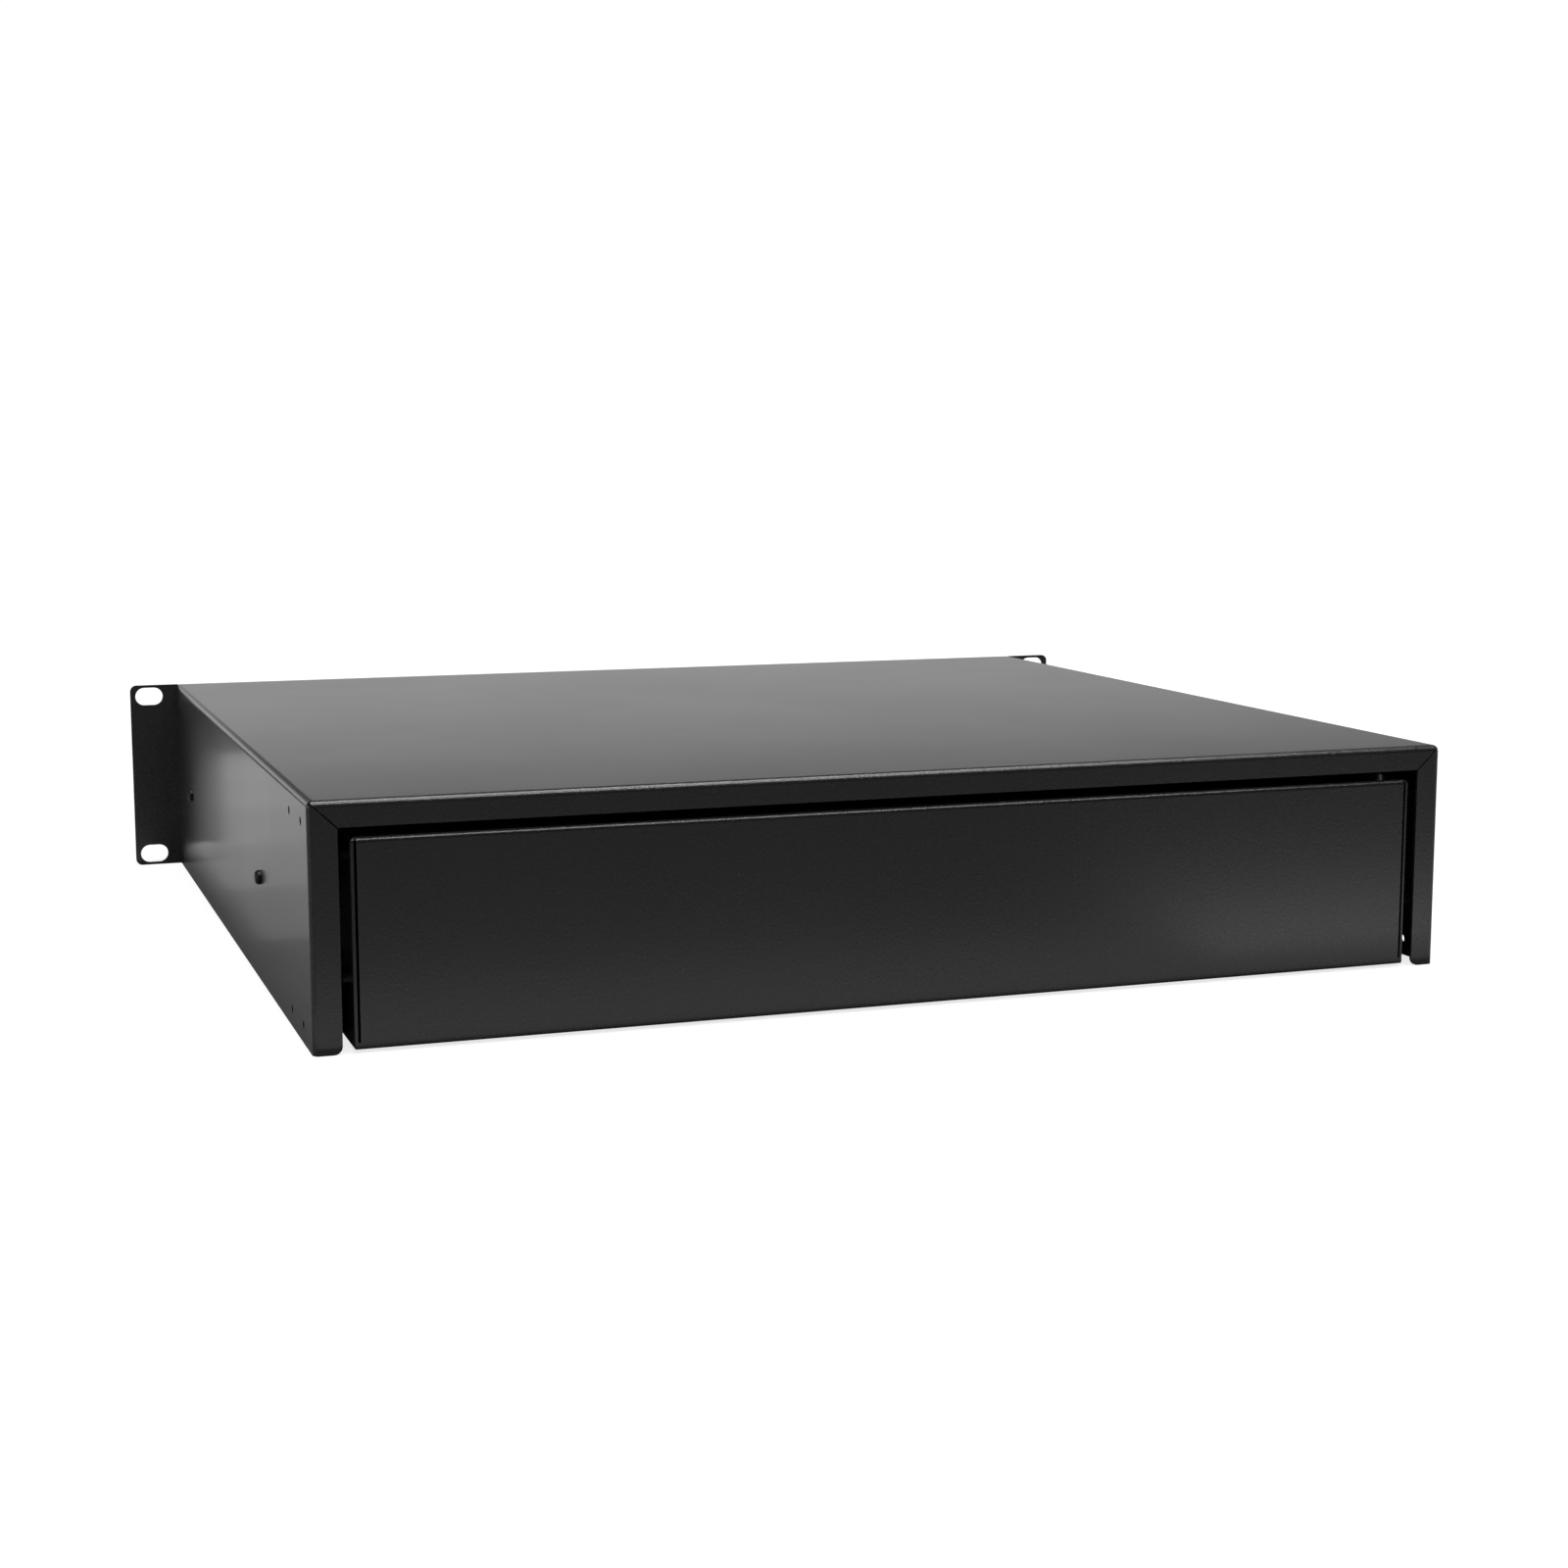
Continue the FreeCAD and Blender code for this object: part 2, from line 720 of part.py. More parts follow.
def make_slide_mount_screws():
    """Four small pan-head screws, heads outside the casing, cut threads in the outer members."""
    body = new_body("slide_mount_screws")
    for side in SIDES.values():
        for step in (0, 1):
            place = f"dims.slide_front + dims.slide_screw_inset + {step} * dims.slide_pitch"
            shift = ("0", "-dims.slide_drop", f"-({place})")
            sizes = ("dims.small_screw", "dims.small_head", "dims.small_head_high")
            length = "dims.sheet + dims.small_screw_end"
            under = f"{side} * {CASING_HALF}"
            turned(body, "XZ_Plane", shift, screw_profile(side, under, *sizes, length))
    return body


def drawer_screw_places():
    for side in SIDES.values():
        for step in (0, 1):
            yield side, f"(dims.drawer_screw_from_front + {step} * dims.drawer_screw_pitch)"


def make_drawer_slide_screws():
    """Pan-head screws from inside the drawer members through the drawer's side walls."""
    body = new_body("drawer_slide_screws")
    for side, place in drawer_screw_places():
        shift = ("0", "-dims.slide_drop", f"-{place}")
        sizes = ("dims.screw", "dims.head", "dims.head_high", "dims.screw_length")
        under = across(side, "(dims.slide_space - dims.slide_steel)")
        turned(body, "XZ_Plane", shift, screw_profile(side, under, *sizes))
    return body


def nut_on_sketch(body, sketch, outer, hole, high, backwards):
    hexagon(sketch, outer)
    circle(sketch, ("0", "0"), hole)
    pad(body, sketch, high, backwards=backwards)


def make_drawer_slide_nuts():
    """Hexagon nuts for those screws, inside the drawer."""
    body = new_body("drawer_slide_nuts")
    for side, place in drawer_screw_places():
        face = across(side, "(dims.slide_space + dims.sheet)")
        sketch = new_sketch(body, "YZ_Plane", place, "-dims.slide_drop", face)
        nut_on_sketch(body, sketch, "dims.nut", "dims.screw", "dims.nut_high", side > 0)
    return body


def make_release_lever(name, side):
    """The moulded lever that frees the drawer member: boss, thumb tab to the front, hook behind."""
    body = new_body(f"release_lever_{name}")
    depth = "(dims.slide_space - dims.slide_steel - dims.lever_web_gap)"
    shift = ("dims.lever_pivot_from_front", "-dims.slide_drop", across(side, depth))
    sketch = new_sketch(body, "YZ_Plane", *shift)
    polygon(
        sketch,
        [
            ("-dims.lever_thumb", "-dims.lever_half"),
            ("-dims.lever_boss", "-dims.lever_half"),
            ("dims.lever_tail", "-dims.lever_half / 2"),
            ("dims.lever_tail", "dims.lever_hook"),
            ("dims.lever_tail - dims.lever_half", "dims.lever_hook"),
            ("dims.lever_tail - dims.lever_half", "dims.lever_half / 2"),
            ("-dims.lever_boss", "dims.lever_half"),
            ("-dims.lever_thumb + dims.lever_half", "dims.lever_half"),
            ("-dims.lever_thumb", "0"),
        ],
    )
    pad(body, sketch, "dims.lever_thick", backwards=side < 0)
    sketch = new_sketch(body, "YZ_Plane", *shift)
    circle(sketch, ("0", "0"), "dims.lever_boss")
    pad(body, sketch, "dims.lever_thick", backwards=side < 0)
    sketch = new_sketch(body, "YZ_Plane", *shift)
    circle(sketch, ("0", "0"), "dims.pivot_pin + dims.ball_play")
    pocket(body, sketch)
    return body


def make_lever_pivots():
    """A headed pin for each release lever, pressed into the drawer member's web."""
    body = new_body("lever_pivots")
    for side in SIDES.values():
        shift = ("0", "-dims.slide_drop", "-dims.lever_pivot_from_front")
        base = across(side, "dims.slide_space")
        under = f"({base} + {side} * (dims.slide_steel + dims.lever_web_gap * 2 + dims.lever_thick))"
        top = f"{under} + {side} * dims.head_round"
        profile = [
            (base, "0"),
            (base, "dims.pivot_pin"),
            (under, "dims.pivot_pin"),
            (under, "dims.pivot_head"),
            (top, "dims.pivot_head - dims.head_round"),
            (top, "0"),
        ]
        turned(body, "XZ_Plane", shift, profile)
    return body


# ---------------------------------------------------------------- drawer


def drawer_shell(body):
    """The welded tray: floor, four walls, and a rim turned in round the top."""
    rear = "dims.casing_depth"
    sketch = new_sketch(body, "XY_Plane", away=DRAWER_BOTTOM)
    rectangle(sketch, f"-{DRAWER_HALF}", DRAWER_FRONT, DRAWER_HALF, rear)
    pad(body, sketch, f"dims.drawer_top - {DRAWER_BOTTOM}")
    fillet(
        body,
        "dims.drawer_top_bend",
        {"y": rear, "z": "dims.drawer_top"},
        {"x": DRAWER_HALF, "z": "dims.drawer_top"},
    )
    fillet(
        body,
        "dims.drawer_edge",
        {"x": DRAWER_HALF, "y": rear},
        {"x": DRAWER_HALF, "z": DRAWER_BOTTOM},
        {"y": rear, "z": DRAWER_BOTTOM},
    )
    sketch = new_sketch(body, "XY_Plane", away="dims.drawer_top - dims.sheet")
    inner = f"({DRAWER_HALF} - dims.sheet)"
    rectangle(sketch, f"-{inner}", f"{DRAWER_FRONT} + dims.sheet", inner, f"{rear} - dims.sheet")
    pocket(body, sketch, f"dims.drawer_top - {DRAWER_BOTTOM} - 2 * dims.sheet")
    sketch = new_sketch(body, "XY_Plane", away="dims.drawer_top")
    rim = f"({DRAWER_HALF} - dims.drawer_rim)"
    rim_front = f"{DRAWER_FRONT} + dims.drawer_rim"
    rectangle(sketch, f"-{rim}", rim_front, rim, f"{rear} - dims.drawer_rim")
    pocket(body, sketch, "2 * dims.sheet")


def drawer_rear_slits(body):
    """The upright slit at each rear corner, between the rear wall's edge and the side wall."""
    sketch = new_sketch(body, "XZ_Plane", away="-(dims.casing_depth - dims.sheet)")
    for side in SIDES.values():
        outer = f"{side} * ({DRAWER_HALF} - dims.sheet)"
        inner = f"{side} * ({DRAWER_HALF} - dims.sheet - dims.drawer_slit)"
        rectangle(sketch, inner, f"{DRAWER_BOTTOM} + 2 * dims.sheet", outer, CASING_TOP)
    pocket(body, sketch, "dims.sheet")


def drawer_lock_notch(body):
    """The opening in the front wall and rim that leaves room for the lock."""
    sketch = new_sketch(body, "XZ_Plane", away=f"-({DRAWER_FRONT})")
    rectangle(sketch, "-dims.notch_half", "dims.notch_floor", "dims.notch_half", CASING_TOP)
    pocket(body, sketch, "dims.drawer_rim + dims.sheet")


def stud_places():
    for side in SIDES.values():
        for step in (0, 1):
            height = f"{step} * dims.stud_rise - dims.stud_rise + dims.notch_floor + dims.stud_drop"
            yield f"{side} * dims.stud_span / 2", height


def handle_ends():
    for side in SIDES.values():
        yield f"{side} * dims.handle_span / 2", "-dims.handle_drop"


def drawer_front_holes(body):
    sketch = new_sketch(body, "XZ_Plane", away=f"-({DRAWER_FRONT})")
    for place in list(stud_places()) + list(handle_ends()):
        circle(sketch, place, "dims.screw_hole")
    pocket(body, sketch, "2 * dims.sheet")


def drawer_side_holes(body):
    row_of_holes(body, "dims.drawer_screw_from_front", 2, "dims.drawer_screw_pitch", "dims.screw_hole")


def make_drawer_box():
    body = new_body("drawer_box")
    drawer_shell(body)
    drawer_rear_slits(body)
    drawer_lock_notch(body)
    drawer_front_holes(body)
    drawer_side_holes(body)
    return body


def make_front_panel():
    """The face of the drawer: a flat sheet with returns along its top and sides."""
    body = new_body("front_panel")
    half = f"({INNER_WALL} - dims.panel_gap)"
    back = f"-({DRAWER_FRONT})"
    inner_half = f"({half} - dims.panel_steel)"
    inner_top = f"({PANEL_TOP} - dims.panel_steel)"
    sketch = new_sketch(body, "XZ_Plane", away=back)
    rectangle(sketch, f"-{half}", DRAWER_BOTTOM, half, PANEL_TOP)
    pad(body, sketch, "dims.panel_steel")
    sketch = new_sketch(body, "XZ_Plane", away=back)
    polygon(
        sketch,
        [
            (f"-{half}", DRAWER_BOTTOM),
            (f"-{half}", PANEL_TOP),
            (half, PANEL_TOP),
            (half, DRAWER_BOTTOM),
            (inner_half, DRAWER_BOTTOM),
            (inner_half, inner_top),
            (f"-{inner_half}", inner_top),
            (f"-{inner_half}", DRAWER_BOTTOM),
        ],
    )
    pad(body, sketch, "dims.panel_return", backwards=True)
    fillet(
        body,
        "dims.panel_bend",
        {"x": half, "z": PANEL_TOP},
        {"x": half, "y": "dims.panel_front"},
        {"y": "dims.panel_front", "z": PANEL_TOP},
    )
    sketch = new_sketch(body, "XZ_Plane", away="-dims.panel_front")
    circle(sketch, ("0", "dims.lock_rise"), "dims.lock_barrel + dims.lock_play")
    for place in handle_ends():
        circle(sketch, place, "dims.screw_hole")
    pocket(body, sketch, "2 * dims.panel_steel")
    return body


def make_panel_studs():
    """Threaded studs welded to the back of the front panel."""
    body = new_body("panel_studs")
    base = DRAWER_FRONT
    tip = f"{DRAWER_FRONT} + dims.stud_length"
    for x, z in stud_places():
        profile = [(base, "0"), (base, "dims.screw"), (tip, "dims.screw"), (tip, "0")]
        turned(body, "YZ_Plane", ("0", z, x), profile)
    return body


def make_panel_nuts():
    """Nuts on those studs, inside the drawer's front wall."""
    body = new_body("panel_nuts")
    face = f"{DRAWER_FRONT} + dims.sheet"
    for x, z in stud_places():
        sketch = new_sketch(body, "XZ_Plane", x, z, f"-({face})")
        nut_on_sketch(body, sketch, "dims.nut", "dims.screw", "dims.nut_high", True)
    return body


def make_pull_handle():
    """A bow handle: a round rod swept along two legs and a grip, with a foot at each end."""
    body = new_body("pull_handle")
    half = "dims.handle_span / 2"
    shift = ("0", "0", "-dims.handle_drop")
    path = new_sketch(body, "XY_Plane", *shift)
    start = "dims.panel_front"
    reach = "(dims.panel_front - dims.handle_reach)"
    bend = "dims.handle_bend"
    handle_path(path, half, start, reach, bend)
    ring = new_sketch(body, "XZ_Plane", f"-{half}", "-dims.handle_drop", "-dims.panel_front")
    circle(ring, ("0", "0"), "dims.handle_rod")
    doc.recompute()
    pipe = body.newObject("PartDesign::AdditivePipe", "pull_handle_rod")
    pipe.Profile = ring
    pipe.Spine = path
    doc.recompute()
    for sign in SIDES.values():
        base = "dims.panel_front"
        top = f"{base} - dims.handle_foot_high"
        profile = [
            (base, "0"),
            (base, "dims.handle_foot"),
            (f"{top} + dims.head_round", "dims.handle_foot"),
            (top, "dims.handle_foot - dims.head_round"),
            (top, "0"),
        ]
        turned(body, "YZ_Plane", ("0", "-dims.handle_drop", f"{sign} * {half}"), profile)
    for sign in SIDES.values():
        shift = (f"{sign} * {half}", "-dims.handle_drop", "-dims.panel_front")
        sketch = new_sketch(body, "XZ_Plane", *shift)
        circle(sketch, ("0", "0"), "dims.screw")
        pocket(body, sketch, "dims.screw_length", backwards=True)
    return body


def handle_path(sketch, half, start, reach, bend):
    """Leg, bend, grip, bend, leg: three lines joined by two quarter circles."""
    lines = (
        ((f"-{half}", start), (f"-{half}", f"{reach} + {bend}")),
        ((f"-{half} + {bend}", reach), (f"{half} - {bend}", reach)),
        ((half, f"{reach} + {bend}"), (half, start)),
    )
    for ends in lines:
        points = [Vector(size_of(x), size_of(y), 0) for x, y in ends]
        index = sketch.addGeometry(Part.LineSegment(*points))
        for vertex, place in enumerate(ends, 1):
            pin(sketch, index, vertex, place)
    for sign, before, after in ((-1, 0, 1), (1, 1, 2)):
        centre_x = f"{sign} * ({half} - {bend})"
        middle = Vector(size_of(centre_x), size_of(f"{reach} + {bend}"), 0)
        whole = Part.Circle(middle, Vector(0, 0, 1), size_of(bend))
        first = math.pi if sign < 0 else 1.5 * math.pi
        arc = sketch.addGeometry(Part.ArcOfCircle(whole, first, first + math.pi / 2))
        sketch.addConstraint(Sketcher.Constraint("Coincident", arc, 1, before, 2))
        sketch.addConstraint(Sketcher.Constraint("Coincident", arc, 2, after, 1))
        pin(sketch, arc, 3, (centre_x,))


def make_handle_screws():
    """Screws from inside the drawer, through wall and panel, into the handle's ends."""
    body = new_body("handle_screws")
    for x, z in handle_ends():
        sizes = ("dims.screw", "dims.head", "dims.head_high")
        under = f"({DRAWER_FRONT} + dims.sheet)"
        length = f"{under} - dims.panel_front + dims.screw_length - dims.sheet"
        turned(body, "YZ_Plane", ("0", z, x), screw_profile(1, under, *sizes, length))
    return body


# ---------------------------------------------------------------- lock


def lock_turned(body, profile):
    return turned(body, "YZ_Plane", ("0", "dims.lock_rise", "0"), profile)


def make_lock_housing():
    """Barrel with a collar outside the panel and a bore for the plug."""
    body = new_body("lock_housing")
    front = "(dims.panel_front - dims.lock_collar_high)"
    bore = "dims.lock_plug + dims.lock_play"
    counterbore = "dims.lock_plug_rim + dims.lock_play"
    ledge = f"{front} + dims.lock_plug_rim_deep"
    lock_turned(
        body,
        [
            (ledge, bore),
            (ledge, counterbore),
            (front, counterbore),
            (front, "dims.lock_collar - dims.head_round"),
            (f"{front} + dims.head_round", "dims.lock_collar"),
            ("dims.panel_front", "dims.lock_collar"),
            ("dims.panel_front", "dims.lock_barrel"),
            (LOCK_BACK, "dims.lock_barrel"),
            (LOCK_BACK, bore),
        ],
    )
    return body


def make_lock_nut():
    """The nut that clamps the housing to the panel from behind."""
    body = new_body("lock_nut")
    sketch = new_sketch(body, "XZ_Plane", "0", "dims.lock_rise", f"-({DRAWER_FRONT})")
    nut_on_sketch(body, sketch, "dims.lock_nut", "dims.lock_barrel", "dims.lock_nut_high", True)
    return body


def make_lock_plug():
    """The turning core, with a keyway in its face and a square tail for the cam."""
    body = new_body("lock_plug")
    front = "(dims.panel_front - dims.lock_collar_high)"
    play = "dims.lock_play"
    rim_back = f"{front} + dims.lock_plug_rim_deep - {play}"
    back = f"({LOCK_BACK} + dims.lock_play)"
    lock_turned(
        body,
        [
            (front, "0"),
            (front, "dims.lock_plug_rim"),
            (rim_back, "dims.lock_plug_rim"),
            (rim_back, "dims.lock_plug"),
            (back, "dims.lock_plug"),
            (back, "0"),
        ],
    )
    sketch = new_sketch(body, "XZ_Plane", "0", "dims.lock_rise", f"-({back})")
    tail = "dims.lock_tail"
    rectangle(sketch, f"-{tail}", f"-{tail}", tail, tail)
    pad(body, sketch, "dims.cam_thick", backwards=True)
    sketch = new_sketch(body, "XZ_Plane", "0", "dims.lock_rise", f"-({front})")
    half = "(dims.keyway_thick / 2 + dims.key_play)"
    wide = "(dims.keyway_wide / 2 + dims.key_play)"
    rectangle(sketch, f"-{half}", f"-{wide}", half, wide)
    pocket(body, sketch, "dims.key_deep + dims.key_play")
    return body


def make_lock_cam():
    """The flat arm on the plug's tail; at rest it lies level, clear of the strike."""
    body = new_body("lock_cam")
    start = f"-({LOCK_BACK} + dims.lock_play)"
    sketch = new_sketch(body, "XZ_Plane", "0", "dims.lock_rise", start)
    rectangle(sketch, "0", "-dims.cam_half", "dims.cam_arm", "dims.cam_half")
    pad(body, sketch, "dims.cam_thick", backwards=True)
    fillet(body, "dims.cam_half / 2", {"x": "dims.cam_arm", "z": "dims.lock_rise + dims.cam_half"},
           {"x": "dims.cam_arm", "z": "dims.lock_rise - dims.cam_half"})
    sketch = new_sketch(body, "XZ_Plane", "0", "dims.lock_rise", start)
    circle(sketch, ("0", "0"), "dims.cam_boss")
    pad(body, sketch, "dims.cam_thick", backwards=True)
    sketch = new_sketch(body, "XZ_Plane", "0", "dims.lock_rise", start)
    tail = "dims.lock_tail"
    rectangle(sketch, f"-{tail}", f"-{tail}", tail, tail)
    pocket(body, sketch)
    return body


def make_cam_screw():
    """The screw that holds the cam on the plug's tail."""
    body = new_body("cam_screw")
    face = f"({LOCK_BACK} + dims.lock_play + dims.cam_thick)"
    top = f"{face} + dims.cam_screw_high"
    lock_turned(
        body,
        [
            (face, "0"),
            (face, "dims.cam_screw_head"),
            (f"{top} - dims.head_round", "dims.cam_screw_head"),
            (top, "dims.cam_screw_head - dims.head_round"),
            (top, "dims.socket"),
            (f"{top} - dims.socket_deep", "dims.socket"),
            (f"{top} - dims.socket_deep", "0"),
        ],
    )
    return body


def make_key():
    """A flat key: blade in the plug's keyway, neck, and a round bow with a ring hole."""
    body = new_body("key")
    face = "(dims.panel_front - dims.lock_collar_high)"
    shift = (face, "dims.lock_rise", "-dims.keyway_thick / 2")
    wide = "dims.keyway_wide / 2"
    bow = "-(dims.key_neck + dims.key_bow)"
    sketch = new_sketch(body, "YZ_Plane", *shift)
    polygon(
        sketch,
        [
            (bow, f"-{wide}"),
            (f"dims.key_deep - {wide}", f"-{wide}"),
            ("dims.key_deep", "-dims.key_play"),
            ("dims.key_deep", "dims.key_play"),
            (f"dims.key_deep - {wide}", wide),
            (bow, wide),
        ],
    )
    pad(body, sketch, "dims.keyway_thick")
    sketch = new_sketch(body, "YZ_Plane", *shift)
    circle(sketch, (bow, "0"), "dims.key_bow")
    pad(body, sketch, "dims.keyway_thick")
    sketch = new_sketch(body, "YZ_Plane", *shift)
    hole = f"{bow} - dims.key_ring_hole"
    circle(sketch, (hole, "0"), "dims.key_ring_hole")
    pocket(body, sketch)
    return body


# ---------------------------------------------------------------- whole model


def make_slides():
    bodies = []
    for name, side in SIDES.items():
        bodies.append(make_slide_outer(name, side))
        bodies.append(make_slide_middle(name, side))
        bodies.append(make_slide_inner(name, side))
        bodies.append(make_ball_cage(name, side, "outer", "dims.outer_cage_web", "dims.outer_ball_rise"))
        bodies.append(make_ball_cage(name, side, "inner", "dims.inner_cage_web", "dims.inner_ball_rise"))
        bodies.append(make_balls(name, side, "outer", "dims.outer_ball_rise"))
        bodies.append(make_balls(name, side, "inner", "dims.inner_ball_rise"))
        bodies.append(make_slide_buffer(name, side))
        bodies.append(make_release_lever(name, side))
    return bodies


def make_everything():
    return make_slides() + [
        make_casing(),
        make_lock_strike(),
        make_slide_mount_screws(),
        make_drawer_slide_screws(),
        make_drawer_slide_nuts(),
        make_lever_pivots(),
        make_drawer_box(),
        make_front_panel(),
        make_panel_studs(),
        make_panel_nuts(),
        make_pull_handle(),
        make_handle_screws(),
        make_lock_housing(),
        make_lock_nut(),
        make_lock_plug(),
        make_lock_cam(),
        make_cam_screw(),
        make_key(),
    ]


def check_document(bodies):
    """Stop if any feature failed, or any sub-part has an empty or broken shape."""
    for item in doc.Objects:
        if {"Invalid", "Error"} & set(item.State):
            raise RuntimeError(f"{item.Label} failed: {item.State}")
    for body in bodies:
        if body.Shape.isNull() or not body.Shape.isValid():
            raise RuntimeError(f"{body.Label} has no valid shape")


def write_parts(bodies):
    os.makedirs("parts", exist_ok=True)
    for body in bodies:
        body.Shape.exportStep(f"parts/{body.Label}.step")
        print(body.Label, len(body.Shape.Solids), round(body.Shape.Volume, 1))


fill_sheet()
parts = make_everything()
check_document(parts)
write_parts(parts)
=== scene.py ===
import json
import math

import bpy
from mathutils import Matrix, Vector


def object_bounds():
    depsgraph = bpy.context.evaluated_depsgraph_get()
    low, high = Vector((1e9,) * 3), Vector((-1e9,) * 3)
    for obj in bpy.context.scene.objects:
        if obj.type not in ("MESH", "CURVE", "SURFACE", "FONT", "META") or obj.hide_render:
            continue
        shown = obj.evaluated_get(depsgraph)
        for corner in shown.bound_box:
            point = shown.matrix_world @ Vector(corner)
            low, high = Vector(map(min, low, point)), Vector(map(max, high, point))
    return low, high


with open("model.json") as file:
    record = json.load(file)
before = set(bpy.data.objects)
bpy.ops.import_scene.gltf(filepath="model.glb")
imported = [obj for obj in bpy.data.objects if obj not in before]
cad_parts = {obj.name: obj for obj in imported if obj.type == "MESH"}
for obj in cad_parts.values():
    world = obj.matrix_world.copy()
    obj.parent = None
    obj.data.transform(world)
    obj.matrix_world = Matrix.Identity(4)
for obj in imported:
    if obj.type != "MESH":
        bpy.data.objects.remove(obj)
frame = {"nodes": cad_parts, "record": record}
CAD_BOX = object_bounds()
LOW, HIGH = CAD_BOX
MIDDLE = (LOW + HIGH) / 2

# A black 2U rack drawer, seen from behind and above.  Metres, in the frame of the CAD model.

SLOT_OF_NODE = {part["node"]: part["material_slot"] for part in frame["record"]["subparts"]}


# ---------------------------------------------------------------- node helpers


def new_material(name):
    material = bpy.data.materials.new(name)
    material.use_nodes = True
    material.node_tree.nodes.clear()
    return material, material.node_tree


def feed(tree, socket, value):
    """Link another node's output to an input, or set the input to a plain value."""
    if isinstance(value, bpy.types.NodeSocket):
        tree.links.new(value, socket)
    else:
        socket.default_value = value


def add(tree, kind, **inputs):
    """A node of the given kind, with input values set by name (spaces written as underscores)."""
    node = tree.nodes.new(kind)
    for name, value in inputs.items():
        feed(tree, node.inputs[name.replace("_", " ")], value)
    return node


def grey(value):
    return (value, value, value, 1.0)


def shade(colour, factor):
    """The colour made darker or lighter by a factor."""
    return tuple(min(1.0, channel * factor) for channel in colour[:3]) + (1.0,)


def maths(tree, operation, first, second=0.0, third=0.0):
    node = tree.nodes.new("ShaderNodeMath")
    node.operation = operation
    for socket, value in zip(node.inputs, (first, second, third)):
        feed(tree, socket, value)
    return node.outputs[0]


def span(tree, value, low, high, to_low=0.0, to_high=1.0):
    """Value moved smoothly from one range to another and held at its ends."""
    node = tree.nodes.new("ShaderNodeMapRange")
    node.interpolation_type = "SMOOTHSTEP"
    tree.links.new(value, node.inputs["Value"])
    ends = {"From Min": low, "From Max": high, "To Min": to_low, "To Max": to_high}
    for name, number in ends.items():
        node.inputs[name].default_value = number
    return node.outputs["Result"]


def place(tree, stretch=(1.0, 1.0, 1.0)):
    """The point being shaded, in metres in the piece's own frame, stretched along each axis."""
    coordinates = tree.nodes.new("ShaderNodeTexCoord")
    mapping = add(tree, "ShaderNodeMapping", Vector=coordinates.outputs["Object"], Scale=stretch)
    return mapping.outputs["Vector"]


def noise(tree, vector, scale, detail=2.0, roughness=0.5):
    node = add(tree, "ShaderNodeTexNoise", Vector=vector, Scale=scale, Detail=detail, Roughness=roughness)
    return node.outputs["Fac"]


def mix_colour(tree, share, first, second):
    node = tree.nodes.new("ShaderNodeMix")
    node.data_type = "RGBA"
    for socket, value in ((node.inputs[0], share), (node.inputs[6], first), (node.inputs[7], second)):
        feed(tree, socket, value)
    return node.outputs[2]


def bump(tree, height, depth, strength=1.0, under=None):
    """Relief from a height pattern, its depth in metres, on top of any relief under it."""
    node = add(tree, "ShaderNodeBump", Height=height, Distance=depth, Strength=strength)
    if under is not None:
        tree.links.new(under, node.inputs["Normal"])
    return node.outputs["Normal"]


EDGE_FULL = 0.78
EDGE_NONE = 0.97
WEAR_PATCH = 260.0


def worn_edges(tree, point, radius):
    """Patches from 0 to 1 along sharp edges, 0 on open faces."""
    rounded = add(tree, "ShaderNodeBevel", Radius=radius)
    rounded.samples = 4
    true_normal = tree.nodes.new("ShaderNodeNewGeometry").outputs["Normal"]
    agreement = tree.nodes.new("ShaderNodeVectorMath")
    agreement.operation = "DOT_PRODUCT"
    tree.links.new(rounded.outputs["Normal"], agreement.inputs[0])
    tree.links.new(true_normal, agreement.inputs[1])
    edge = span(tree, agreement.outputs["Value"], EDGE_FULL, EDGE_NONE, 1.0, 0.0)
    patches = span(tree, noise(tree, point, WEAR_PATCH, 3.0), 0.42, 0.66)
    return maths(tree, "MULTIPLY", edge, patches)


FADE_START = 0.55
FADE_END = 0.86
RELIEF_LEFT = 0.02


def relief_seen(tree):
    """How much relief to show: 1 on a face looked at squarely, almost none at grazing."""
    facing = add(tree, "ShaderNodeLayerWeight", Blend=0.5).outputs["Facing"]
    return span(tree, facing, FADE_START, FADE_END, 1.0, RELIEF_LEFT)


def surface(tree, **inputs):
    shader = add(tree, "ShaderNodeBsdfPrincipled", **inputs)
    output = tree.nodes.new("ShaderNodeOutputMaterial")
    tree.links.new(shader.outputs["BSDF"], output.inputs["Surface"])


# ---------------------------------------------------------------- materials

# Patterns are given as noise scales, finer when larger.  Depths and radii are in metres.
GRAIN = 950.0
DIMPLE = 420.0
DIMPLE_DEPTH = 0.000012
CLOUD = 14.0
COAT_WEAR = 0.0004
SKIN = 0.35
SKIN_ROUGHNESS = 0.13
SKIN_RELIEF = 9.0

ROLLED_LINES = 40.0
LINE_DEPTH = 0.000002
STEEL_CLOUD = 30.0
STEEL_SPECK = 900.0
SPECK_DEPTH = 0.000004
STEEL_WEAR = 0.0003

SCRATCH = 300.0
SCRATCH_DEPTH = 0.000003
POLISH_HAZE = 90.0
POLISH_WEAR = 0.0002

SPARK_GRAIN = 2200.0
SPARK_DEPTH = 0.00004
PLASTIC_CLOUD = 60.0
PLASTIC_WEAR = 0.0003


